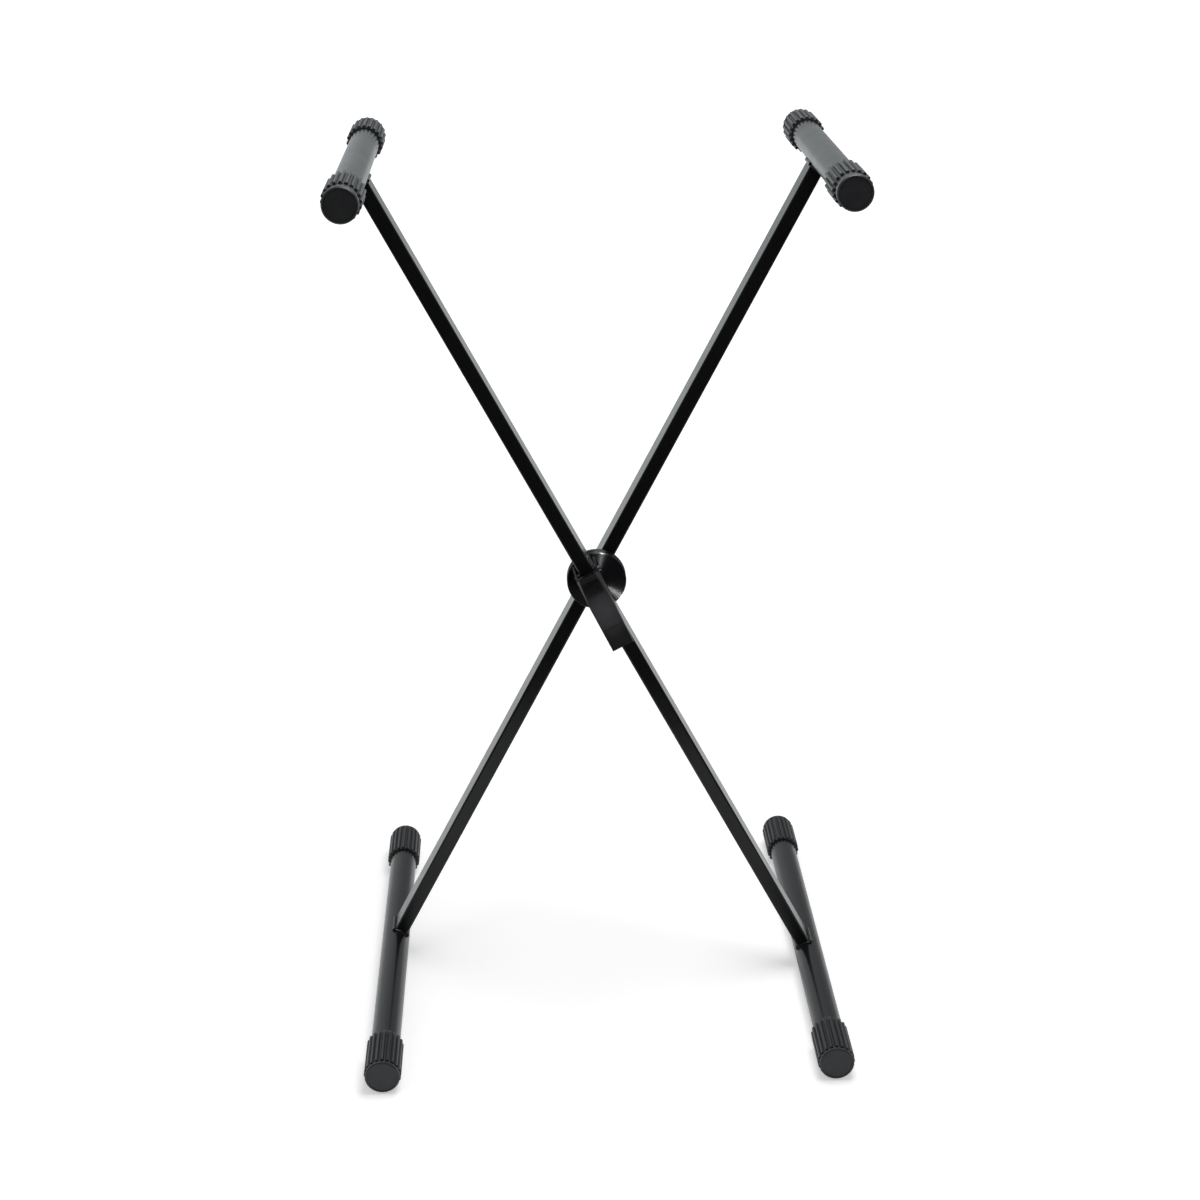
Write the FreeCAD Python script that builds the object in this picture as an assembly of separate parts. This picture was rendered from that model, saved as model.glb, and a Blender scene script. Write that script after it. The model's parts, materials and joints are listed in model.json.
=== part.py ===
import FreeCAD, Part
import math
import os

# Folding keyboard stand: one X of rectangular steel arms with four round cross tubes.
# Millimetres. X is to the right, Y is away from the player, Z is up.
# The origin is on the floor, under the middle of the base.

V = FreeCAD.Vector
ALONG_X = V(1, 0, 0)
ALONG_Y = V(0, 1, 0)
ALONG_Z = V(0, 0, 1)

# ---- stance -------------------------------------------------------------
lean_angle = 27.87          # each arm from the vertical, degrees
arm_reach = 490.0           # pivot axis to each cross tube's axis, along the arm

# ---- rectangular arms ---------------------------------------------------
arm_width = 15.0            # across, in the plane of the X
arm_depth = 30.0            # along Y
arm_wall = 1.5
arm_corner = 2.0            # outer corner radius
arm_gap = 22.0              # between the front arm and the rear arm
arms_centre = -4.0          # middle of that gap, ahead of the base tubes' middle

# ---- round cross tubes --------------------------------------------------
tube_radius = 15.0
tube_wall = 1.5
saddle_fit = 0.05           # between an arm's coped end and its tube
base_span = 524.0           # over both caps of a base tube
base_centre = 0.0
top_left_span = 407.0
top_left_centre = -13.5
top_right_span = 402.0
top_right_centre = 1.0

# ---- ribbed end caps ----------------------------------------------------
cap_tip_radius = 18.8       # axis to the flat land of a rib
cap_root_radius = 16.4
cap_ribs = 20               # a multiple of four: one rib points straight down, one up
rib_land = 1.8
rib_foot = 3.8
rib_end_chamfer = 0.5
cap_fit = 0.05              # between a cap's bore and its tube
cap_end_wall = 4.0
sleeve_length = 55.0
short_nose_length = 5.0     # the plain disc that stands proud of the ribs
short_nose_radius = 17.6
short_lip_length = 3.5
long_nose_length = 18.0     # on the two top caps that face the player
long_nose_radius = 16.9
nose_neck_radius = 16.1     # between a nose's lip and the ribs
long_lip_length = 7.0
nose_chamfer = 1.2
face_recess_depth = 0.5
face_recess_margin = 2.2    # between a nose's rim and its recess

# ---- weld beads ---------------------------------------------------------
bead_radius = 2.0
bead_overhang = 0.6         # of a bead's centre beyond the arm's side

# ---- pivot --------------------------------------------------------------
bolt_radius = 4.0
running_fit = 0.05
bolt_head_radius = 7.0
bolt_head_height = 4.4
bolt_crown_radius = 3.6
bolt_socket_flats = 5.0
bolt_socket_depth = 2.4
bolt_tail = 2.5             # thread that shows past the nut
bush_radius = 6.0
pivot_washer_radius = 8.0
washer_thickness = 1.2
side_clearance = 0.3        # between faces that turn past each other
nut_flats = 13.0
nut_height = 8.0
nut_collar_radius = 5.6
nut_insert_height = 2.0
nut_insert_wall = 1.1

# ---- clutch plate and index disc ------------------------------------------
plate_radius = 31.0         # the plate on the front arm
plate_thickness = 5.0
plate_to_arm = 3.0          # from the front arm's back to the plate
plate_boss_radius = 13.6
plate_to_disc = 1.5
disc_radius = 31.0          # the disc on the rear arm
disc_thickness = 7.0
disc_edge_chamfer = 0.8
hub_radius = 16.0           # inside the index holes
index_circle_radius = 21.0
index_step = 25.0           # degrees between stops
index_stops_each_way = 2
index_hole_clearance = 0.25
friction_washer_radius = 13.0

# ---- lock pin and spring ------------------------------------------------
lock_pin_radius = 3.0
lock_pin_tip_chamfer = 0.8
lock_pin_tip_gap = 0.4      # tip to disc, with the pin just drawn
cross_pin_radius = 1.5
cross_pin_length = 13.6
cross_pin_stand = 14.0      # cross pin's axis ahead of the arm's front face
lock_pin_head = 3.5         # pin past the cross pin's axis
collar_radius = 5.0
collar_thickness = 1.2
spring_mean_radius = 4.2
spring_wire = 1.0
spring_length = 17.5
spring_turns = 6

# ---- locking lever ------------------------------------------------------
lever_half_width = 13.0     # at the top
lever_end_half_width = 11.5
lever_top = 25.0            # top edge above the pivot, along the arm
lever_end = -51.0           # lower edge
lever_top_stand = 13.5      # front face ahead of the arm at the top edge
lever_end_stand = 39.0      # and at the lower edge
lever_skin = 2.5
lever_inner = 8.8           # half width of the hollow
lever_rim = 5.0             # depth of the thin lower half
lever_cheek = 9.0           # depth of the cheeks
lever_thin_length = 36.0
lever_taper_length = 8.0    # where the cheeks run down to the rim
lever_hinge_height = 21.0   # hinge pin above the pivot, along the arm
lever_hinge_inset = 4.0     # hinge pin behind the arm's front face
shoulder_half_width = 9.2   # of the front face at the top edge
shoulder_length = 38.0
shoulder_depth = 8.5
grip_ribs = 7
grip_first = 6.0            # first rib below the top edge
grip_pitch = 2.3
grip_width = 1.1
grip_height = 0.9
grip_half_length = 9.0
pad_length = 21.0
pad_margin = 1.6
pad_depth = 0.5
web_inner = 4.0             # pin eye to web
web_thickness = 2.4
web_half_height = 6.0
web_below_slot = 3.0
slot_half_length = 4.2
slot_clearance = 0.3
hinge_pin_radius = 2.0
hinge_pin_head_radius = 3.0
hinge_pin_head = 1.2
hinge_pin_fit = 0.02        # in the arm and in the retainer
hinge_pin_tail = 0.8        # pin that shows past the retainer
retainer_radius = 2.8
retainer_thickness = 0.8

# ---- lever yoke ---------------------------------------------------------
yoke_half_width = 12.9
yoke_sheet = 2.0
yoke_web_stand = 6.5        # front of the yoke's web ahead of the arm's front face
yoke_back = 19.0            # ear's rear edge behind the arm's front face
yoke_top_front = 23.4       # ear's upper edge at the web, above the pivot
yoke_top_back = 31.0        # and at the rear corner
yoke_low_front = 13.5
yoke_low_back = 16.0
yoke_corner = 2.5
yoke_collar_radius = 4.2    # collars that keep the ears off the arm's sides
yoke_side_gap = 0.4

# ---- derived places -----------------------------------------------------
lean = math.radians(lean_angle)
base_axis_z = cap_tip_radius
pivot_z = base_axis_z + arm_reach * math.cos(lean)
top_axis_z = pivot_z + arm_reach * math.cos(lean)
stance_x = arm_reach * math.sin(lean)
arm_offset = (arm_gap + arm_depth) / 2
front_arm_y = arms_centre - arm_offset
rear_arm_y = arms_centre + arm_offset
arm_face = arm_depth / 2
plate_front = -arm_gap / 2 + plate_to_arm
plate_back = plate_front + plate_thickness
disc_front = plate_back + plate_to_disc
disc_back = disc_front + disc_thickness
lock_z = -index_circle_radius
washer_back = -(arm_gap / 2 + arm_depth) - side_clearance
head_seat = washer_back - washer_thickness
rear_face = arm_gap / 2 + arm_depth
nut_seat = rear_face + washer_thickness
hinge_y = -arm_face + lever_hinge_inset
yoke_front = -arm_face - yoke_web_stand
cross_pin_y = -arm_face - cross_pin_stand


def cylinder(radius, start, length, axis=ALONG_Y):
    """A rod from the point start, along axis."""
    return Part.makeCylinder(radius, length, start, axis)


def rod_y(radius, y0, y1, x=0.0, z=0.0):
    """A rod along Y."""
    return cylinder(radius, V(x, y0, z), y1 - y0)


def ring_y(outer, inner, y0, y1, x=0.0, z=0.0):
    """A tube along Y."""
    return rod_y(outer, y0, y1, x, z).cut(rod_y(inner, y0, y1, x, z))


def lathe(profile, x=0.0, z=0.0):
    """A solid turned about Y from (radius, y) points."""
    points = [V(radius, y, 0) for radius, y in profile]
    face = Part.Face(Part.makePolygon(points + points[:1]))
    turned = face.revolve(V(0, 0, 0), ALONG_Y, 360)
    turned.translate(V(x, 0, z))
    return turned


def chamfered_rod(radius, y0, y1, chamfer0, chamfer1):
    """A turned rod with a chamfer at each end."""
    return lathe([
        (0, y0),
        (radius - chamfer0, y0),
        (radius, y0 + chamfer0),
        (radius, y1 - chamfer1),
        (radius - chamfer1, y1),
        (0, y1),
    ])


def hexagon(flats, y0, y1):
    """A hexagonal prism along Y, given its width over flats."""
    corner = flats / math.sqrt(3)
    points = []
    for side in range(6):
        angle = math.radians(60 * side)
        points.append(V(corner * math.cos(angle), y0, corner * math.sin(angle)))
    return Part.Face(Part.makePolygon(points + points[:1])).extrude(V(0, y1 - y0, 0))


def side_prism(points, x0, x1):
    """A prism across X from (y, z) points."""
    corners = [V(x0, y, z) for y, z in points]
    return Part.Face(Part.makePolygon(corners + corners[:1])).extrude(V(x1 - x0, 0, 0))


def on_arm(shape, front):
    """Carries a shape from the upright arm's own frame to the leaning arm."""
    placed = shape.copy()
    placed.rotate(V(0, 0, 0), ALONG_Y, -lean_angle if front else lean_angle)
    placed.translate(V(0, front_arm_y if front else rear_arm_y, pivot_z))
    return placed


def at_pivot(shape):
    """Carries a shape about the Y axis to the pivot, with y = 0 midway between the arms."""
    placed = shape.copy()
    placed.translate(V(0, arms_centre, pivot_z))
    return placed


# ---- arms, tubes and welds ----------------------------------------------
def rounded_bar(width, depth, corner):
    """A solid bar along Z, between the two cross tubes' axes."""
    bar = Part.makeBox(width, depth, 2 * arm_reach, V(-width / 2, -depth / 2, -arm_reach))
    upright = [edge for edge in bar.Edges if abs(edge.Length - 2 * arm_reach) < 1e-6]
    return bar.makeFillet(corner, upright)


def plain_arm():
    """A rectangular tube with both ends coped to the round tubes."""
    outer = rounded_bar(arm_width, arm_depth, arm_corner)
    inner_corner = max(arm_corner - arm_wall, arm_corner / 4)
    inner = rounded_bar(arm_width - 2 * arm_wall, arm_depth - 2 * arm_wall, inner_corner)
    arm = outer.cut(inner)
    for end in (-arm_reach, arm_reach):
        arm = arm.cut(rod_y(tube_radius + saddle_fit, -arm_depth, arm_depth, 0, end))
    return arm


def front_arm():
    """The front arm, bored for the pivot bush, the lock pin and the lever's hinge pin."""
    arm = plain_arm().cut(rod_y(bush_radius, -arm_depth, arm_depth))
    arm = arm.cut(rod_y(lock_pin_radius + running_fit, -arm_depth, arm_depth, 0, lock_z))
    return on_arm(arm.cut(hinge_bore(hinge_pin_fit)), True)


def rear_arm():
    """The rear arm, bored for the sleeve that keeps the bolt from crushing it."""
    return on_arm(plain_arm().cut(rod_y(bush_radius, -arm_depth, arm_depth)), False)


def weld_bead(end):
    """The bead all round one coped end of an arm, upright."""
    tube = rod_y(tube_radius, -arm_depth, arm_depth, 0, end)
    bar = rounded_bar(arm_width, arm_depth, arm_corner)
    up = 1 if end > 0 else -1
    side = arm_width / 2
    foot = end - up * math.sqrt(tube_radius ** 2 - side ** 2)
    bead = None
    for x in (-side - bead_overhang, side + bead_overhang):
        rod = chamfered_rod(bead_radius, -arm_face, arm_face, 0.5, 0.5)
        rod.translate(V(x, 0, foot - up * bead_overhang))
        bead = rod if bead is None else bead.fuse(rod)
    for y in (-arm_face, arm_face):
        hoop = Part.makeTorus(tube_radius, bead_radius, V(0, y, end), ALONG_Y)
        window = Part.makeBox(arm_width + 2 * bead_overhang, 4 * bead_radius, 2 * tube_radius,
                              V(-side - bead_overhang, y - 2 * bead_radius,
                                end - tube_radius - up * tube_radius))
        bead = bead.fuse(hoop.common(window))
    return bead.cut(tube).cut(bar)


def frame_welds(front):
    """The two beads of one frame."""
    return Part.makeCompound([on_arm(weld_bead(end), front) for end in (-arm_reach, arm_reach)])


def cross_tube(x, z, centre, span):
    """A round tube that ends on the end walls of its caps."""
    half = span / 2 - cap_end_wall
    return ring_y(tube_radius, tube_radius - tube_wall, centre - half, centre + half, x, z)


# ---- caps ----------------------------------------------------------------
def ribbed_sleeve(y0, y1):
    """The ribbed outside of a cap. Each rib is a trapezoid with a flat land."""
    corners = [
        (-rib_foot / 2, cap_root_radius),
        (-rib_land / 2, cap_tip_radius),
        (rib_land / 2, cap_tip_radius),
        (rib_foot / 2, cap_root_radius),
    ]
    points = []
    for rib in range(cap_ribs):
        turn = 2 * math.pi * rib / cap_ribs
        for across, out in corners:
            x = across * math.cos(turn) + out * math.sin(turn)
            z = out * math.cos(turn) - across * math.sin(turn)
            points.append(V(x, y0, z))
    prism = Part.Face(Part.makePolygon(points + points[:1])).extrude(V(0, y1 - y0, 0))
    rounding = chamfered_rod(cap_tip_radius + rib_end_chamfer, y0, y1,
                             2 * rib_end_chamfer, 2 * rib_end_chamfer)
    return prism.common(rounding)


def end_cap(nose_length, nose_radius, lip_length):
    """A cap with its closed end at y = 0 and its mouth towards +Y."""
    mouth = nose_length + sleeve_length
    nose = lathe([
        (0, 0),
        (nose_radius - nose_chamfer, 0),
        (nose_radius, nose_chamfer),
        (nose_radius, lip_length),
        (nose_neck_radius, lip_length + nose_radius - nose_neck_radius),
        (nose_neck_radius, nose_length + sleeve_length / 2),
        (0, nose_length + sleeve_length / 2),
    ])
    cap = ribbed_sleeve(nose_length, mouth).fuse(nose)
    cap = cap.cut(rod_y(tube_radius + cap_fit, cap_end_wall, mouth + 1))
    return cap.cut(rod_y(nose_radius - face_recess_margin, -1, face_recess_depth))


def capped_tube(x, z, centre, span, front_nose):
    """The tube at (x, z) with its front cap and its rear cap."""
    front_cap = end_cap(*front_nose)
    front_cap.translate(V(x, centre - span / 2, z))
    rear_cap = end_cap(*short_nose)
    rear_cap.rotate(V(0, 0, 0), ALONG_Z, 180)
    rear_cap.translate(V(x, centre + span / 2, z))
    return cross_tube(x, z, centre, span), front_cap, rear_cap


# ---- pivot ----------------------------------------------------------------
def pivot_bolt():
    """A button head bolt with a hexagon socket, along Y."""
    tail = nut_seat + nut_height + bolt_tail
    bolt = lathe([
        (0, head_seat - bolt_head_height),
        (bolt_crown_radius, head_seat - bolt_head_height),
        (bolt_head_radius - 0.6, head_seat - bolt_head_height * 0.35),
        (bolt_head_radius, head_seat),
        (bolt_radius, head_seat),
        (bolt_radius, tail - 1.0),
        (bolt_radius - 1.0, tail),
        (0, tail),
    ])
    crown = head_seat - bolt_head_height
    return at_pivot(bolt.cut(hexagon(bolt_socket_flats, crown - 1, crown + bolt_socket_depth)))


def washer(y0, outer, thickness):
    """A flat washer on the bolt."""
    return at_pivot(ring_y(outer, bolt_radius + running_fit, y0, y0 + thickness))


def lock_nut():
    """A hexagon nut with a round collar over its insert."""
    collar_start = nut_seat + nut_height - nut_insert_height
    nut = hexagon(nut_flats, nut_seat, collar_start)
    corner = nut_flats / math.sqrt(3)
    nut = nut.common(chamfered_rod(corner, nut_seat, collar_start, 0.6, 0.6))
    nut = nut.fuse(rod_y(nut_collar_radius, collar_start - 1, nut_seat + nut_height))
    nut = nut.cut(rod_y(bolt_radius + running_fit, nut_seat - 1, nut_seat + nut_height + 1))
    seat = bolt_radius + nut_insert_wall
    return at_pivot(nut.cut(rod_y(seat, collar_start, nut_seat + nut_height + 1)))


def lock_nut_insert():
    """The plastic ring in the nut's collar."""
    collar_start = nut_seat + nut_height - nut_insert_height
    outer = bolt_radius + nut_insert_wall - running_fit
    return at_pivot(ring_y(outer, bolt_radius + running_fit, collar_start, nut_seat + nut_height))


def stop_hole(stop, y0, y1):
    """The pin's hole at one stop. Stop 0 lies under the pin."""
    turn = lean - math.radians(index_step * stop)
    x = index_circle_radius * math.sin(turn)
    z = -index_circle_radius * math.cos(turn)
    return rod_y(lock_pin_radius + index_hole_clearance, y0 - 1, y1 + 1, x, z)


def clutch_plate():
    """The plate and boss on the front arm. It covers the index disc and guides the pin's tip."""
    plate = chamfered_rod(plate_radius, plate_front, plate_back,
                          disc_edge_chamfer, disc_edge_chamfer)
    plate = plate.fuse(rod_y(plate_boss_radius, -arm_gap / 2, plate_back))
    plate = plate.cut(rod_y(bolt_radius + side_clearance, -arm_gap, plate_back + 1))
    return at_pivot(plate.cut(stop_hole(0, plate_front, plate_back)))


def index_disc():
    """The disc on the rear arm, with a hole for each stop of the lock pin."""
    disc = chamfered_rod(disc_radius, disc_front, disc_back, disc_edge_chamfer, disc_edge_chamfer)
    disc = disc.cut(rod_y(bolt_radius + running_fit, disc_front - 1, disc_back + 1))
    for stop in range(-index_stops_each_way, index_stops_each_way + 1):
        disc = disc.cut(stop_hole(stop, disc_front, disc_back))
    return at_pivot(disc)


def friction_washer():
    """The plastic washer between the clutch plate and the disc."""
    back = disc_front - side_clearance
    return at_pivot(ring_y(friction_washer_radius, bolt_radius + side_clearance, plate_back, back))


# ---- lock pin --------------------------------------------------------------
def lock_pin():
    """The pin that drops into the disc's holes, upright in the front arm's frame."""
    tip = disc_front + arm_offset - lock_pin_tip_gap
    tail = cross_pin_y - lock_pin_head
    pin = chamfered_rod(lock_pin_radius, tail, tip, 0.4, lock_pin_tip_chamfer)
    pin.translate(V(0, 0, lock_z))
    start = V(-lock_pin_radius - 1, cross_pin_y, lock_z)
    length = 2 * lock_pin_radius + 2
    return on_arm(pin.cut(cylinder(cross_pin_radius + 0.02, start, length, ALONG_X)), True)


def cross_pin():
    """The pin that ties the lock pin to the lever's webs."""
    start = V(-cross_pin_length / 2, cross_pin_y, lock_z)
    return on_arm(cylinder(cross_pin_radius, start, cross_pin_length, ALONG_X), True)


def spring_front():
    """Where the spring bears on the inside of the arm's front wall."""
    return -arm_face + arm_wall + side_clearance


def pin_collar():
    """The ring on the lock pin that the spring pushes."""
    y0 = spring_front() + spring_length
    ring = ring_y(collar_radius, lock_pin_radius + 0.02, y0, y0 + collar_thickness, 0, lock_z)
    return on_arm(ring, True)


def lock_spring():
    """One unbroken coil round the lock pin, on arcs of a quarter turn."""
    arcs_per_turn = 4
    rise = spring_length - spring_wire
    steps = spring_turns * arcs_per_turn
    y0 = spring_front() + spring_wire / 2

    def coil_point(step):
        turn = 2 * math.pi * step / arcs_per_turn
        return V(spring_mean_radius * math.cos(turn), y0 + rise * step / steps,
                 spring_mean_radius * math.sin(turn))

    arcs = []
    for step in range(steps):
        arc = Part.Arc(coil_point(step), coil_point(step + 0.5), coil_point(step + 1))
        arcs.append(arc.toShape())
    path = Part.Wire(arcs)
    circle = Part.Circle(coil_point(0), path.Edges[0].tangentAt(0), spring_wire / 2)
    section = Part.Wire([circle.toShape()])
    coil = path.makePipeShell([section], True, False)
    print("spring pitch", round(rise / spring_turns, 3),
          "least gap", round(rise / spring_turns - spring_wire, 3))
    coil.translate(V(0, 0, lock_z))
    return on_arm(coil, True)


# ---- lever ------------------------------------------------------------------
lever_a = (-arm_face - lever_top_stand, lever_top)
lever_b = (-arm_face - lever_end_stand, lever_end)
lever_length = math.dist(lever_a, lever_b)
lever_down = ((lever_b[0] - lever_a[0]) / lever_length, (lever_b[1] - lever_a[1]) / lever_length)
lever_in = (-lever_down[1], lever_down[0])


def on_face(down, behind):
    """The (y, z) point so far down the lever's front face and so far behind it."""
    y = lever_a[0] + down * lever_down[0] + behind * lever_in[0]
    z = lever_a[1] + down * lever_down[1] + behind * lever_in[1]
    return (y, z)


def face_prism(points, behind0, behind1):
    """A prism square to the lever's front face, from (across, down) points."""
    corners = []
    for across, down in points:
        y, z = on_face(down, behind0)
        corners.append(V(across, y, z))
    depth = behind1 - behind0
    through = V(0, depth * lever_in[0], depth * lever_in[1])
    return Part.Face(Part.makePolygon(corners + corners[:1])).extrude(through)


def corner_wedge(side):
    """What the slanting facet takes off one long edge of the front face."""
    over = 1.0

    def point(across, down, behind):
        y, z = on_face(down, behind)
        return V(side * across, y, z)

    half = lever_half_width + over
    slope = (lever_half_width - shoulder_half_width) / shoulder_length
    sink = shoulder_depth / (lever_half_width - shoulder_half_width)
    start = shoulder_half_width - slope * over
    top = [point(start, -over, 0), point(half, -over, 0), point(half, -over, sink * (half - start))]
    reach = (half - shoulder_half_width) / slope
    tip = point(half, reach, 0)
    faces = [
        Part.Face(Part.makePolygon(top + top[:1])),
        Part.Face(Part.makePolygon([top[0], top[1], tip, top[0]])),
        Part.Face(Part.makePolygon([top[1], top[2], tip, top[1]])),
        Part.Face(Part.makePolygon([top[2], top[0], tip, top[2]])),
    ]
    wedge = Part.Solid(Part.Shell(faces))
    if wedge.Volume < 0:
        wedge.reverse()
    return wedge


def lock_lever():
    """The moulded lever: a hollow shell with slanting shoulders, grip ribs and two webs."""
    outline = [
        lever_a,
        lever_b,
        on_face(lever_length, lever_rim),
        on_face(lever_length - lever_thin_length, lever_rim),
        on_face(lever_length - lever_thin_length - lever_taper_length, lever_cheek),
        on_face(0.0, lever_cheek),
    ]
    lever = side_prism(outline, -lever_half_width, lever_half_width)
    plan = [
        (-lever_half_width, -1.0),
        (lever_half_width, -1.0),
        (lever_end_half_width, lever_length + 1.0),
        (-lever_end_half_width, lever_length + 1.0),
    ]
    lever = lever.common(face_prism(plan, -1.0, arm_depth))
    hollow = [
        on_face(-1.0, lever_skin),
        on_face(lever_length - lever_skin, lever_skin),
        on_face(lever_length - lever_skin, arm_depth),
        on_face(-1.0, arm_depth),
    ]
    lever = lever.cut(side_prism(hollow, -lever_inner, lever_inner))
    for side in (-1, 1):
        lever = lever.cut(corner_wedge(side))
    lever = lever.fuse(grip())
    pad_half = lever_end_half_width - pad_margin
    pad_end = lever_length - pad_margin
    pad = [
        (-pad_half, pad_end - pad_length),
        (pad_half, pad_end - pad_length),
        (pad_half, pad_end),
        (-pad_half, pad_end),
    ]
    lever = lever.cut(face_prism(pad, -1.0, pad_depth))
    lever = lever.fuse(webs())
    seat = Part.makeBox(4 * lever_half_width, arm_depth, yoke_top_back - yoke_low_front,
                        V(-2 * lever_half_width, yoke_front, yoke_low_front))
    return on_arm(lever.cut(seat).removeSplitter(), True)


def grip():
    """The raised ribs across the lever's upper third."""
    ribs = []
    for rib in range(grip_ribs):
        down = grip_first + rib * grip_pitch
        corners = [
            on_face(down - grip_width / 2, 0.5),
            on_face(down - grip_width / 4, -grip_height),
            on_face(down + grip_width / 4, -grip_height),
            on_face(down + grip_width / 2, 0.5),
        ]
        ribs.append(side_prism(corners, -grip_half_length, grip_half_length))
    return Part.makeCompound(ribs)


def webs():
    """Two webs behind the face, slotted for the cross pin."""
    top = lock_z + web_half_height
    low = lock_z - web_half_height
    back = cross_pin_y + cross_pin_radius + web_below_slot
    buried = lever_skin - 0.5

    def behind_face(z):
        down = (lever_a[1] - z + buried * lever_in[1]) / -lever_down[1]
        return on_face(down, buried)

    outline = [behind_face(top), behind_face(low), (back, low), (back, top)]
    half_slot = cross_pin_radius + slot_clearance
    slot = [
        (cross_pin_y - half_slot, lock_z - slot_half_length),
        (cross_pin_y + half_slot, lock_z - slot_half_length),
        (cross_pin_y + half_slot, lock_z + slot_half_length),
        (cross_pin_y - half_slot, lock_z + slot_half_length),
    ]
    pair = []
    for side in (-1, 1):
        near = side * web_inner
        far = side * (web_inner + web_thickness)
        web = side_prism(outline, min(near, far), max(near, far))
        pair.append(web.cut(side_prism(slot, min(near, far) - 1, max(near, far) + 1)))
    return Part.makeCompound(pair)


def hinge_bore(fit):
    """The bore for the hinge pin, through everything."""
    start = V(-2 * lever_half_width, hinge_y, lever_hinge_height)
    return cylinder(hinge_pin_radius + fit, start, 4 * lever_half_width, ALONG_X)


def lever_yoke():
    """The bent steel yoke that carries the lever: a web and two ears that straddle the arm."""
    back = -arm_face + yoke_back
    profile = [
        (yoke_front, yoke_low_front),
        (yoke_front, yoke_top_front),
        (back - yoke_corner, yoke_top_back),
        (back, yoke_top_back - yoke_corner),
        (back, yoke_low_back + yoke_corner),
        (back - yoke_corner, yoke_low_back),
    ]
    yoke = side_prism(profile, -yoke_half_width, yoke_half_width)
    inner = yoke_half_width - yoke_sheet
    room = Part.makeBox(2 * inner, 2 * arm_depth, 2 * arm_depth,
                        V(-inner, yoke_front + yoke_sheet, 0))
    yoke = yoke.cut(room)
    near = arm_width / 2 + yoke_side_gap
    for x in (-inner, near):
        start = V(x, hinge_y, lever_hinge_height)
        yoke = yoke.fuse(cylinder(yoke_collar_radius, start, inner - near, ALONG_X))
    return on_arm(yoke.cut(hinge_bore(running_fit)).removeSplitter(), True)


def lever_hinge_pin():
    """The headed pin through the yoke's ears and the arm."""
    left = -yoke_half_width - side_clearance
    right = yoke_half_width + side_clearance + retainer_thickness + hinge_pin_tail
    pin = cylinder(hinge_pin_radius, V(left, hinge_y, lever_hinge_height), right - left, ALONG_X)
    head = cylinder(hinge_pin_head_radius, V(left - hinge_pin_head, hinge_y, lever_hinge_height),
                    hinge_pin_head, ALONG_X)
    return on_arm(pin.fuse(head).removeSplitter(), True)


def hinge_retainer():
    """The push-on washer on the hinge pin's plain end."""
    start = V(yoke_half_width + side_clearance, hinge_y, lever_hinge_height)
    ring = cylinder(retainer_radius, start, retainer_thickness, ALONG_X)
    return on_arm(ring.cut(hinge_bore(hinge_pin_fit)), True)


# ---- the nodes ----------------------------------------------------------------
short_nose = (short_nose_length, short_nose_radius, short_lip_length)
long_nose = (long_nose_length, long_nose_radius, long_lip_length)
nodes = {}
tubes = [
    ("base", "left", -stance_x, base_axis_z, base_centre, base_span, short_nose),
    ("base", "right", stance_x, base_axis_z, base_centre, base_span, short_nose),
    ("top", "left", -stance_x, top_axis_z, top_left_centre, top_left_span, long_nose),
    ("top", "right", stance_x, top_axis_z, top_right_centre, top_right_span, long_nose),
]
for level, hand, x, z, centre, span, nose in tubes:
    tube, front_cap, rear_cap = capped_tube(x, z, centre, span, nose)
    nodes[level + "_tube_" + hand] = tube
    nodes[level + "_" + hand + "_front_cap"] = front_cap
    nodes[level + "_" + hand + "_rear_cap"] = rear_cap

nodes["front_arm"] = front_arm()
nodes["rear_arm"] = rear_arm()
nodes["front_frame_welds"] = frame_welds(True)
nodes["rear_frame_welds"] = frame_welds(False)
nodes["pivot_bush"] = at_pivot(ring_y(bush_radius, bolt_radius + running_fit,
                                      -arm_offset - arm_face, -arm_offset + arm_face))
nodes["rear_sleeve"] = at_pivot(ring_y(bush_radius, bolt_radius + running_fit,
                                       arm_offset - arm_face, arm_offset + arm_face))
nodes["pivot_bolt"] = pivot_bolt()
nodes["pivot_front_washer"] = washer(head_seat, pivot_washer_radius, washer_thickness)
nodes["pivot_rear_washer"] = washer(rear_face, pivot_washer_radius, washer_thickness)
nodes["pivot_lock_nut"] = lock_nut()
nodes["lock_nut_insert"] = lock_nut_insert()
nodes["clutch_plate"] = clutch_plate()
nodes["index_disc"] = index_disc()
nodes["disc_hub"] = washer(disc_back, hub_radius, arm_gap / 2 - disc_back)
nodes["friction_washer"] = friction_washer()
nodes["lock_lever"] = lock_lever()
nodes["lever_yoke"] = lever_yoke()
nodes["lever_hinge_pin"] = lever_hinge_pin()
nodes["hinge_pin_retainer"] = hinge_retainer()
nodes["lock_pin"] = lock_pin()
nodes["lock_cross_pin"] = cross_pin()
nodes["lock_pin_collar"] = pin_collar()
nodes["lock_spring"] = lock_spring()

os.makedirs("parts", exist_ok=True)
for name, shape in nodes.items():
    shape.exportStep("parts/" + name + ".step")
    print(name, "solids", len(shape.Solids), "valid", shape.isValid(),
          "cm3", round(shape.Volume / 1000, 2))
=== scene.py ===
import json
import math

import bpy
from mathutils import Matrix, Vector


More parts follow.
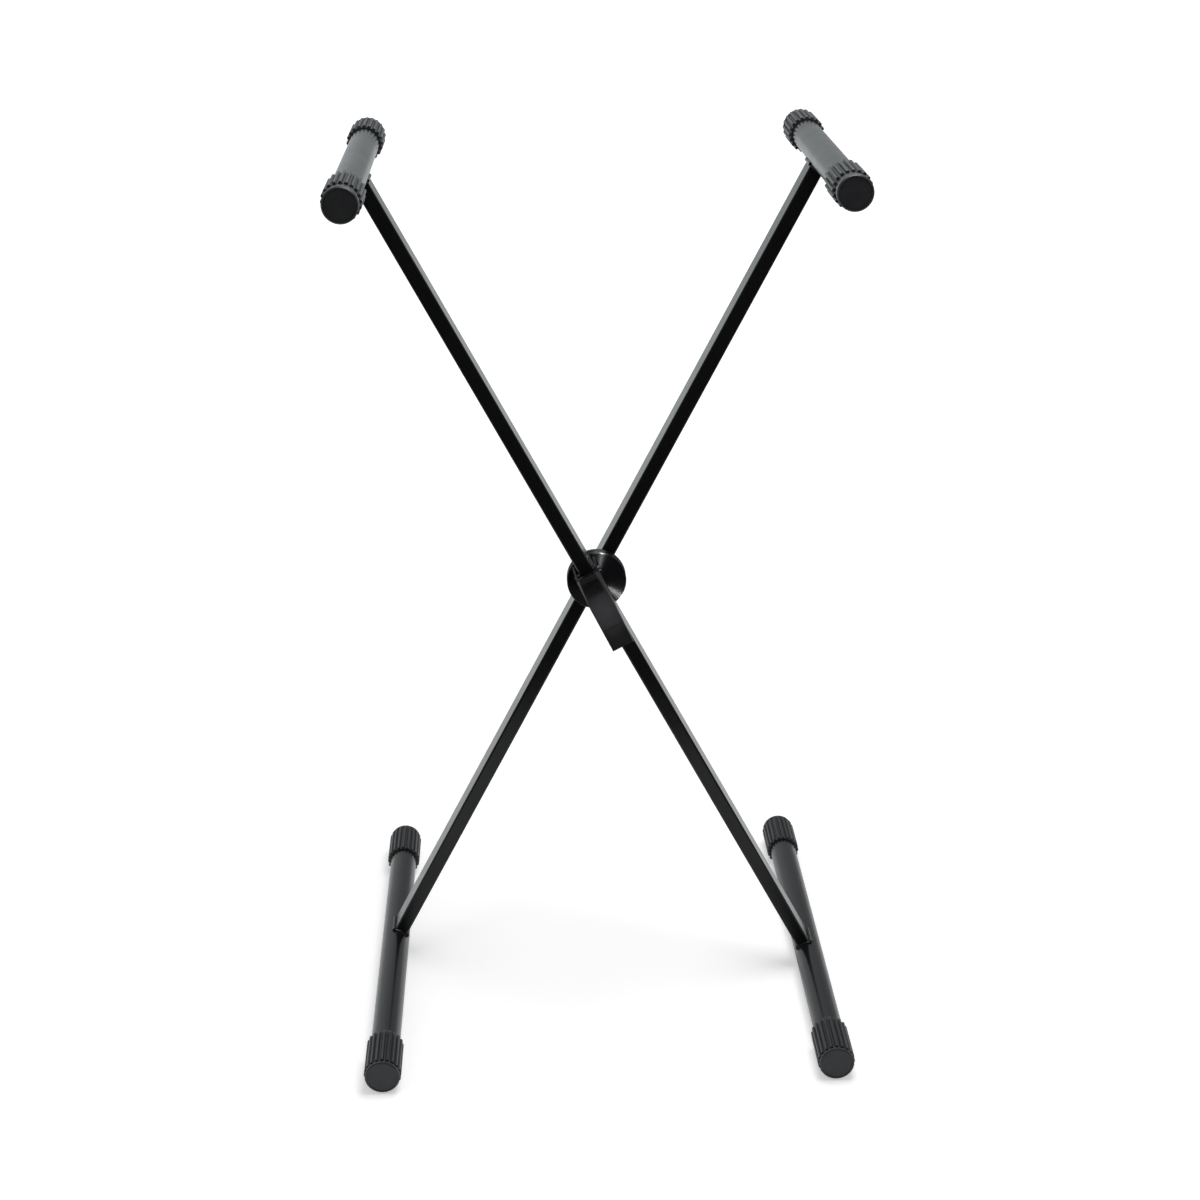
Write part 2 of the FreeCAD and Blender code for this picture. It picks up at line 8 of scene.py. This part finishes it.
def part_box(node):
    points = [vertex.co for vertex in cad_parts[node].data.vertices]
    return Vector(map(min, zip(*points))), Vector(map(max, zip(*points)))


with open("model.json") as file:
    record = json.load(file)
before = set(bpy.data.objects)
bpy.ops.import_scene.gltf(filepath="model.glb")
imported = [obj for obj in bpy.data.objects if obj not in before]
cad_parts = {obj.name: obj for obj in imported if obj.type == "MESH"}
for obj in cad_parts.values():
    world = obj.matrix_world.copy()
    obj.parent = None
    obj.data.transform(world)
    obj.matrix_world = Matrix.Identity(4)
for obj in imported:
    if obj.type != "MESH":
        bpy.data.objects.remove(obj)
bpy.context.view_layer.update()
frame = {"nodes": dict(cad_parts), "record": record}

# Looks of the folding keyboard stand, in metres and in the frame's axes.
# Every piece is a solid of the frame. This script gives each its finish, rounds the edges
# of the caps, the lever and the lock nut, and adds the stage, the lamps and the camera.

NODES = frame["nodes"]
MM = 0.001
WHITE = (1.0, 1.0, 1.0)
RIGHTWARD = Vector((1, 0, 0))
BACKWARD = Vector((0, 1, 0))
UPWARD = Vector((0, 0, 1))

# ---- sizes of the finishes ---------------------------------------------------------
RING_PITCH_MM = 0.35            # turned rings of the clutch plate
LEVER_HIGHLIGHT_MM = (8, 30)             # from the lever's middle, where its painted highlight fades
CAP_ROUND_MM = 0.22
LEVER_ROUND_MM = 0.45
NUT_ROUND_MM = 0.2
CREASE = math.radians(32.0)     # sharper edges than this are rounded

# ---- camera, fitted to the photograph --------------------------------------------
CAMERA_PLACE = Vector((-0.0700, -2.1109, 1.2328))
CAMERA_PITCH = math.radians(20.905)      # below the horizon
CAMERA_YAW = math.radians(1.998)         # towards +X
CAMERA_ROLL = math.radians(-0.608)
LENS_MM = 64.48
SENSOR_MM = 36.0

# ---- stage and lamps -------------------------------------------------------------
PAPER_REACH = 14.0                # half a side of the floor
PAPER_DROP = 0.5 * MM             # the floor lies this far under the feet
PAPER_SPAN = (0.45, 2.2)          # metres from the stand, where its own light grows
PAPER_SEEN = (0.46, 0.95)         # that light to the camera, near and far
PAPER_MIRRORED = (0.34, 0.66)     # and to reflections
SKY_SEEN = 1.0
SKY_MIRRORED = 0.60
SKY_FILL = 0.32                   # what the sky lights the pieces with
MIRRORED_TINT = (0.92, 0.98, 1.0)
SIDE_SPAN = (-0.35, 0.35)         # a unit direction's X, from the set's left to its right
SKY_LEFT_TO_RIGHT = (1.32, 0.76)      # mirrored light falls off over that span
PAPER_LEFT_TO_RIGHT = (1.10, 0.80)
GLINT_DISTANCE = 0.35             # from the clutch plate's middle to its two lamps
GLINT_SIZE = 0.04


# ---- node helpers ----------------------------------------------------------------
class Nodes:
    """A node tree, with short ways to add and join nodes."""

    def __init__(self, tree):
        self.tree = tree

    def add(self, kind, **settings):
        node = self.tree.nodes.new(kind)
        for key, value in settings.items():
            setattr(node, key, value)
        return node

    def join(self, source, target):
        self.tree.links.new(source, target)

    def spread(self, value, low, high, start=0.3, end=0.7):
        """Maps value from start..end to low..high. Noise lies mostly from 0.3 to 0.7."""
        node = self.add("ShaderNodeMapRange")
        node.inputs["From Min"].default_value = start
        node.inputs["From Max"].default_value = end
        node.inputs["To Min"].default_value = low
        node.inputs["To Max"].default_value = high
        self.join(value, node.inputs["Value"])
        return node.outputs["Result"]

    def maths(self, operation, first, second=None):
        """One operation on one or two values, each a number or a node's output."""
        node = self.add("ShaderNodeMath", operation=operation)
        for socket, value in zip(node.inputs, (first, second)):
            if value is None:
                continue
            if isinstance(value, (int, float)):
                socket.default_value = value
            else:
                self.join(value, socket)
        return node.outputs["Value"]

    def vector(self, operation, first, second=None, output="Vector"):
        """One operation on a node's vector, with a fixed one where it takes two."""
        node = self.add("ShaderNodeVectorMath", operation=operation)
        self.join(first, node.inputs[0])
        if second is not None:
            node.inputs[1].default_value = second
        return node.outputs[output]

    def length(self, vector):
        return self.vector("LENGTH", vector, output="Value")

    def scaled(self, colour, factor):
        node = self.add("ShaderNodeVectorMath", operation="SCALE")
        self.join(colour, node.inputs[0])
        self.join(factor, node.inputs["Scale"])
        return node.outputs["Vector"]

    def blend(self, factor, first, second):
        """From the first colour at 0 to the second at 1."""
        node = self.add("ShaderNodeMix", data_type="RGBA")
        node.inputs["A"].default_value = (*first, 1)
        node.inputs["B"].default_value = (*second, 1)
        self.join(factor, node.inputs["Factor"])
        return node.outputs["Result"]


class Finish(Nodes):
    """A new material, with the patterns that finishes are made of."""

    def __init__(self, name):
        self.material = bpy.data.materials.new(name)
        self.material.use_nodes = True
        super().__init__(self.material.node_tree)
        self.shader = self.tree.nodes["Principled BSDF"]
        self.place = self.add("ShaderNodeTexCoord").outputs["Object"]

    def put(self, socket, value):
        """One value of the shader for the whole surface."""
        self.shader.inputs[socket].default_value = value

    def feed(self, socket, source):
        """A value of the shader that a node's output gives."""
        self.join(source, self.shader.inputs[socket])

    def noise(self, scale, detail=3.0, rough=0.5):
        """A noise field, scale in cells per metre."""
        node = self.add("ShaderNodeTexNoise")
        node.inputs["Scale"].default_value = scale
        node.inputs["Detail"].default_value = detail
        node.inputs["Roughness"].default_value = rough
        self.join(self.place, node.inputs["Vector"])
        return node.outputs["Fac"]

    def shades(self, noise, dark, light):
        """Patches of two shades."""
        return self.blend(self.spread(noise, 0.0, 1.0), dark, light)

    def bump(self, height, depth_mm, strength=1.0, under=None):
        """A normal for a height field, over the normal that is under it."""
        node = self.add("ShaderNodeBump")
        node.inputs["Strength"].default_value = strength
        node.inputs["Distance"].default_value = depth_mm * MM
        self.join(height, node.inputs["Height"])
        if under is not None:
            self.join(under, node.inputs["Normal"])
        return node.outputs["Normal"]

    def painted_crease_shade(self, reach_mm, darkest, shut=0.45, clear=0.95):
        """Painted shade: 1 on open faces, down to the share darkest in grooves and corners."""
        shade = self.add("ShaderNodeAmbientOcclusion", samples=8)
        shade.inputs["Distance"].default_value = reach_mm * MM
        return self.spread(shade.outputs["AO"], darkest, 1.0, shut, clear)


# ---- materials -------------------------------------------------------------------
def powder_coat(name="powder_coat", rough=(0.17, 0.23), specular=0.28, ripple_mm=0.0):
    """Satin black powder coat with fine orange peel. ripple_mm adds the waves of a weld."""
    look = Finish(name)
    patches = look.noise(9.0, 4.0, 0.6)
    tone = look.shades(patches, (0.0064, 0.0064, 0.0067), (0.0088, 0.0089, 0.0093))
    look.feed("Base Color", tone)
    look.put("Specular IOR Level", specular)
    look.feed("Roughness", look.spread(look.noise(38.0, 4.0, 0.65), *rough))
    normal = look.bump(look.noise(950.0, 2.0), 0.04, 0.35)
    if ripple_mm:
        normal = look.bump(look.noise(330.0, 1.0, 0.4), ripple_mm, 1.0, normal)
    specks = look.noise(2600.0, 1.0)
    look.feed("Normal", look.bump(specks, 0.010, 0.30, normal))
    return look.material


def weld_coat():
    """The same coat over a weld's ripples."""
    return powder_coat("weld_coat", ripple_mm=0.6)


def tube_coat():
    """The same coat, a little duller on the round tubes."""
    return powder_coat("tube_coat", rough=(0.22, 0.27), specular=0.36)


def cap_rubber():
    """Moulded charcoal rubber with faint flow marks, duller in its grooves, where painted shade also
    darkens it.
    """
    look = Finish("cap_rubber")
    darkest = 0.06
    share = look.painted_crease_shade(5.0, darkest, shut=0.35, clear=0.75)
    flow = look.noise(70.0, 5.0, 0.65)
    tone = look.shades(flow, (0.023, 0.0235, 0.0255), (0.033, 0.034, 0.0365))
    # painted shade: the base colour is scaled down in grooves and corners
    look.feed("Base Color", look.scaled(tone, share))
    look.put("Specular IOR Level", 0.38)
    scuffs = look.spread(look.noise(220.0, 4.0, 0.6), 0.32, 0.42)
    dullness = look.spread(share, 0.45, 0.0, darkest, 1.0)
    look.feed("Roughness", look.maths("ADD", scuffs, dullness))
    look.feed("Normal", look.bump(look.noise(1500.0, 3.0, 0.6), 0.03, 0.5))
    return look.material


def lever_plastic():
    """Moulded nylon with a fine grain, lighter round the middle by a painted highlight, with painted
    shade in its creases.
    """
    look = Finish("lever_plastic")
    low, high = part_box("lock_lever")
    away = look.length(look.vector("SUBTRACT", look.place, (low + high) / 2))
    near, far = LEVER_HIGHLIGHT_MM
    # painted highlight: the base colour grows lighter towards the lever's middle, where its face
    # catches the light
    painted_highlight = look.spread(away, 1.0, 0.0, near * MM, far * MM)
    tone = look.blend(painted_highlight, (0.013, 0.013, 0.0145), (0.052, 0.052, 0.056))
    clouds = look.spread(look.noise(110.0, 4.0, 0.6), 0.88, 1.12)
    # painted shade: the base colour is darkened in creases and corners
    look.feed("Base Color", look.scaled(look.scaled(tone, clouds), look.painted_crease_shade(2.0, 0.35)))
    look.put("Specular IOR Level", 0.30)
    look.feed("Roughness", look.spread(look.noise(300.0, 3.0, 0.6), 0.52, 0.62))
    look.feed("Normal", look.bump(look.noise(2300.0, 2.0, 0.6), 0.03, 0.6))
    return look.material


def disc_enamel():
    """Gloss black enamel over a turned face: fine rings about the pivot spread its glints."""
    look = Finish("disc_enamel")
    low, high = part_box("clutch_plate")
    offset = look.vector("SUBTRACT", look.place, (low + high) / 2)
    radius = look.length(look.vector("MULTIPLY", offset, (1.0, 0.0, 1.0)))
    turns = look.maths("MULTIPLY", radius, 2 * math.pi / (RING_PITCH_MM * MM))
    look.put("Base Color", (0.0010, 0.0010, 0.0012, 1))
    look.put("Specular IOR Level", 0.35)
    look.put("Roughness", 0.33)
    look.put("Anisotropic", 1.0)
    look.put("Anisotropic Rotation", 0.25)
    tangent = look.add("ShaderNodeTangent", direction_type="RADIAL", axis="Y")
    look.feed("Tangent", tangent.outputs["Tangent"])
    look.feed("Normal", look.bump(look.maths("SINE", turns), 0.01, 0.1))
    return look.material


def plated_steel():
    """Bright zinc plate with fine cloudy spangle."""
    look = Finish("plated_steel")
    look.put("Metallic", 1.0)
    spangle = look.noise(600.0, 4.0, 0.6)
    look.feed("Base Color", look.shades(spangle, (0.50, 0.50, 0.51), (0.66, 0.66, 0.66)))
    look.feed("Roughness", look.spread(look.noise(900.0, 3.0, 0.6), 0.22, 0.38))
    look.feed("Normal", look.bump(look.noise(1800.0, 2.0), 0.02, 0.4))
    return look.material


def bolt_black():
    """Black oxide on machined steel."""
    look = Finish("bolt_black")
    look.put("Metallic", 0.6)
    clouds = look.noise(500.0, 4.0, 0.6)
    look.feed("Base Color", look.shades(clouds, (0.02, 0.02, 0.022), (0.04, 0.04, 0.044)))
    look.feed("Roughness", look.spread(look.noise(700.0, 3.0, 0.6), 0.30, 0.42))
    look.feed("Normal", look.bump(look.noise(1600.0, 2.0), 0.02, 0.4))
    return look.material


def nylon():
    """Natural nylon, slightly waxy."""
    look = Finish("nylon")
    clouds = look.noise(200.0)
    look.feed("Base Color", look.shades(clouds, (0.72, 0.71, 0.67), (0.80, 0.79, 0.75)))
    look.feed("Roughness", look.spread(look.noise(500.0), 0.38, 0.50))
    look.feed("Normal", look.bump(look.noise(1500.0, 2.0), 0.02, 0.4))
    return look.material


MATERIALS = {
    "powder_coat": powder_coat,
    "weld_coat": weld_coat,
    "tube_coat": tube_coat,
    "cap_rubber": cap_rubber,
    "lever_plastic": lever_plastic,
    "disc_enamel": disc_enamel,
    "bolt_black": bolt_black,
    "plated_steel": plated_steel,
    "nylon": nylon,
}

# Pieces whose finish is a variant of their slot's.
VARIANTS = {
    "front_frame_welds": "weld_coat",
    "rear_frame_welds": "weld_coat",
    "base_tube_left": "tube_coat",
    "base_tube_right": "tube_coat",
    "top_tube_left": "tube_coat",
    "top_tube_right": "tube_coat",
}


def dress_pieces():
    """Gives each piece the finish of its record slot, or that finish's variant."""
    made = {name: build() for name, build in MATERIALS.items()}
    for entry in frame["record"]["subparts"]:
        name = entry["node"]
        node = NODES[name]
        node.data.materials.clear()
        node.data.materials.append(made[VARIANTS.get(name, entry["material_slot"])])


# ---- soft edges ------------------------------------------------------------------
def soften(name, width_mm, segments=2):
    """A small round on every crease of a piece."""
    bevel = NODES[name].modifiers.new("round", "BEVEL")
    bevel.width = width_mm * MM
    bevel.segments = segments
    bevel.limit_method = "ANGLE"
    bevel.angle_limit = CREASE
    bevel.harden_normals = True
    bevel.use_clamp_overlap = True


def soften_pieces():
    for name in NODES:
        if name.endswith("_cap"):
            soften(name, CAP_ROUND_MM)
    soften("lock_lever", LEVER_ROUND_MM, segments=3)
    soften("pivot_lock_nut", NUT_ROUND_MM)


# ---- camera ----------------------------------------------------------------------
def add_camera():
    """The camera looks along its pitch and yaw, and is turned about that by its roll."""
    data = bpy.data.cameras.new("camera")
    data.lens = LENS_MM
    data.sensor_width = SENSOR_MM
    camera = bpy.data.objects.new("camera", data)
    bpy.context.scene.collection.objects.link(camera)
    cos_pitch, sin_pitch = math.cos(CAMERA_PITCH), math.sin(CAMERA_PITCH)
    cos_yaw, sin_yaw = math.cos(CAMERA_YAW), math.sin(CAMERA_YAW)
    cos_roll, sin_roll = math.cos(CAMERA_ROLL), math.sin(CAMERA_ROLL)
    forward = Vector((sin_yaw * cos_pitch, cos_yaw * cos_pitch, -sin_pitch))
    level = Vector((cos_yaw, -sin_yaw, 0))
    up = level.cross(forward)
    right = cos_roll * level + sin_roll * up
    above = cos_roll * up - sin_roll * level
    turn = Matrix((right, above, -forward)).transposed()
    camera.matrix_world = Matrix.Translation(CAMERA_PLACE) @ turn.to_4x4()
    bpy.context.scene.camera = camera


# ---- sky, floor and flag ---------------------------------------------------------
def ray_levels(nodes, seen, mirrored, other):
    """Levels for camera rays, for reflected and refracted rays, and for the rest.

    Returns the level, and an output that is 1 for reflected and refracted rays.
    """
    path = nodes.add("ShaderNodeLightPath")
    camera = path.outputs["Is Camera Ray"]
    reflected, refracted = path.outputs["Is Glossy Ray"], path.outputs["Is Transmission Ray"]
    mirror = nodes.maths("MAXIMUM", reflected, refracted)
    rest = nodes.maths("SUBTRACT", 1.0, nodes.maths("MAXIMUM", mirror, camera))
    to_mirror = nodes.maths("MULTIPLY", mirror, mirrored)
    to_camera = nodes.maths("MULTIPLY", camera, seen)
    to_rest = nodes.maths("MULTIPLY", rest, other)
    level = nodes.maths("ADD", nodes.maths("ADD", to_mirror, to_camera), to_rest)
    return level, mirror


def side_fall_off(nodes, direction, left_to_right):
    """More on the left of the set than on the right, by the direction from the stand."""
    parts = nodes.add("ShaderNodeSeparateXYZ")
    nodes.join(nodes.vector("NORMALIZE", direction), parts.inputs["Vector"])
    return nodes.spread(parts.outputs["X"], *left_to_right, *SIDE_SPAN)


def add_sky():
    """A white studio, dimmer where it lights the pieces and where they mirror it."""
    world = bpy.data.worlds.new("studio")
    bpy.context.scene.world = world
    world.use_nodes = True
    nodes = Nodes(world.node_tree)
    sky = nodes.tree.nodes["Background"]
    direction = nodes.add("ShaderNodeTexCoord").outputs["Generated"]
    fall_off = side_fall_off(nodes, direction, SKY_LEFT_TO_RIGHT)
    mirrored = nodes.maths("MULTIPLY", fall_off, SKY_MIRRORED)
    level, mirror = ray_levels(nodes, SKY_SEEN, mirrored, SKY_FILL)
    nodes.join(nodes.blend(mirror, WHITE, MIRRORED_TINT), sky.inputs["Color"])
    nodes.join(level, sky.inputs["Strength"])


def plane(name, centre, along, up, half_width, half_height):
    """A flat rectangle spanned by two directions."""
    corners = []
    for a, b in ((-1, -1), (1, -1), (1, 1), (-1, 1)):
        corners.append(centre + along * half_width * a + up * half_height * b)
    mesh = bpy.data.meshes.new(name)
    mesh.from_pydata(corners, [], [(0, 1, 2, 3)])
    obj = bpy.data.objects.new(name, mesh)
    bpy.context.scene.collection.objects.link(obj)
    return obj


def add_floor():
    """White paper under and behind the stand. It keeps the soft shadows."""
    centre = -PAPER_DROP * UPWARD
    floor = plane("floor", centre, RIGHTWARD, BACKWARD, PAPER_REACH, PAPER_REACH)
    look = Finish("paper")
    tone = look.shades(look.noise(30.0), (0.80, 0.80, 0.80), (0.82, 0.82, 0.82))
    look.feed("Base Color", tone)
    look.put("Roughness", 0.9)
    look.put("Specular IOR Level", 0.1)
    away = look.length(look.place)
    seen = look.spread(away, *PAPER_SEEN, *PAPER_SPAN)
    fall_off = side_fall_off(look, look.place, PAPER_LEFT_TO_RIGHT)
    mirrored = look.maths("MULTIPLY", look.spread(away, *PAPER_MIRRORED, *PAPER_SPAN), fall_off)
    level, mirror = ray_levels(look, seen, mirrored, 0.0)
    look.feed("Emission Strength", level)
    look.feed("Emission Color", look.blend(mirror, WHITE, MIRRORED_TINT))
    floor.data.materials.append(look.material)


def add_flag(name, centre, half_width, half_height, grey):
    """A dark card that only reflections see, as a studio sets before a glossy black object."""
    card = plane(name, Vector(centre), RIGHTWARD, UPWARD, half_width, half_height)
    look = Finish(name)
    look.feed("Emission Color", look.blend(look.noise(40.0), (0.9 * grey,) * 3, (1.1 * grey,) * 3))
    look.put("Emission Strength", 1.0)
    look.put("Base Color", (0.0, 0.0, 0.0, 1))
    look.put("Specular IOR Level", 0.0)
    look.put("Roughness", 1.0)
    card.data.materials.append(look.material)
    card.visible_camera = False
    card.visible_diffuse = False
    card.visible_shadow = False
    card.visible_transmission = False


# ---- lamps -----------------------------------------------------------------------
def add_softbox(name, place, target, size, watts):
    """A rectangular lamp that faces its target."""
    data = bpy.data.lights.new(name, "AREA")
    data.shape = "RECTANGLE"
    data.size, data.size_y = size
    data.energy = watts
    lamp = bpy.data.objects.new(name, data)
    lamp.location = place
    lamp.rotation_mode = "QUATERNION"
    lamp.rotation_quaternion = (Vector(target) - Vector(place)).to_track_quat("-Z", "Y")
    bpy.context.scene.collection.objects.link(lamp)
    return lamp


def add_glint(name, towards, watts):
    """A small lamp for the turned plate alone, in a direction from its middle."""
    low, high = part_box("clutch_plate")
    middle = (low + high) / 2
    place = middle + GLINT_DISTANCE * Vector(towards).normalized()
    lamp = add_softbox(name, place, middle, (GLINT_SIZE, GLINT_SIZE), watts)
    lamp.visible_camera = False
    plates = bpy.data.collections.new(name)
    plates.objects.link(NODES["clutch_plate"])
    lamp.light_linking.receiver_collection = plates


def add_studio():
    bpy.context.scene.view_settings.view_transform = "Standard"
    add_sky()
    add_floor()
    add_flag("front_flag", (0.0, -0.67, 1.5), half_width=3.0, half_height=1.5, grey=0.006)
    add_softbox("overhead", (0.25, -0.05, 1.80), target=(0, 0, 0), size=(1.0, 0.8), watts=18.0)
    add_softbox("left_fill", (-1.05, -0.70, 0.75), target=(0, 0, 0.45), size=(0.35, 0.6), watts=0.35)
    add_glint("glint_above", towards=(0.25, -0.55, 0.80), watts=3.6)
    add_glint("glint_right", towards=(0.59, -0.38, -0.71), watts=3.4)


add_camera()
add_studio()
dress_pieces()
soften_pieces()
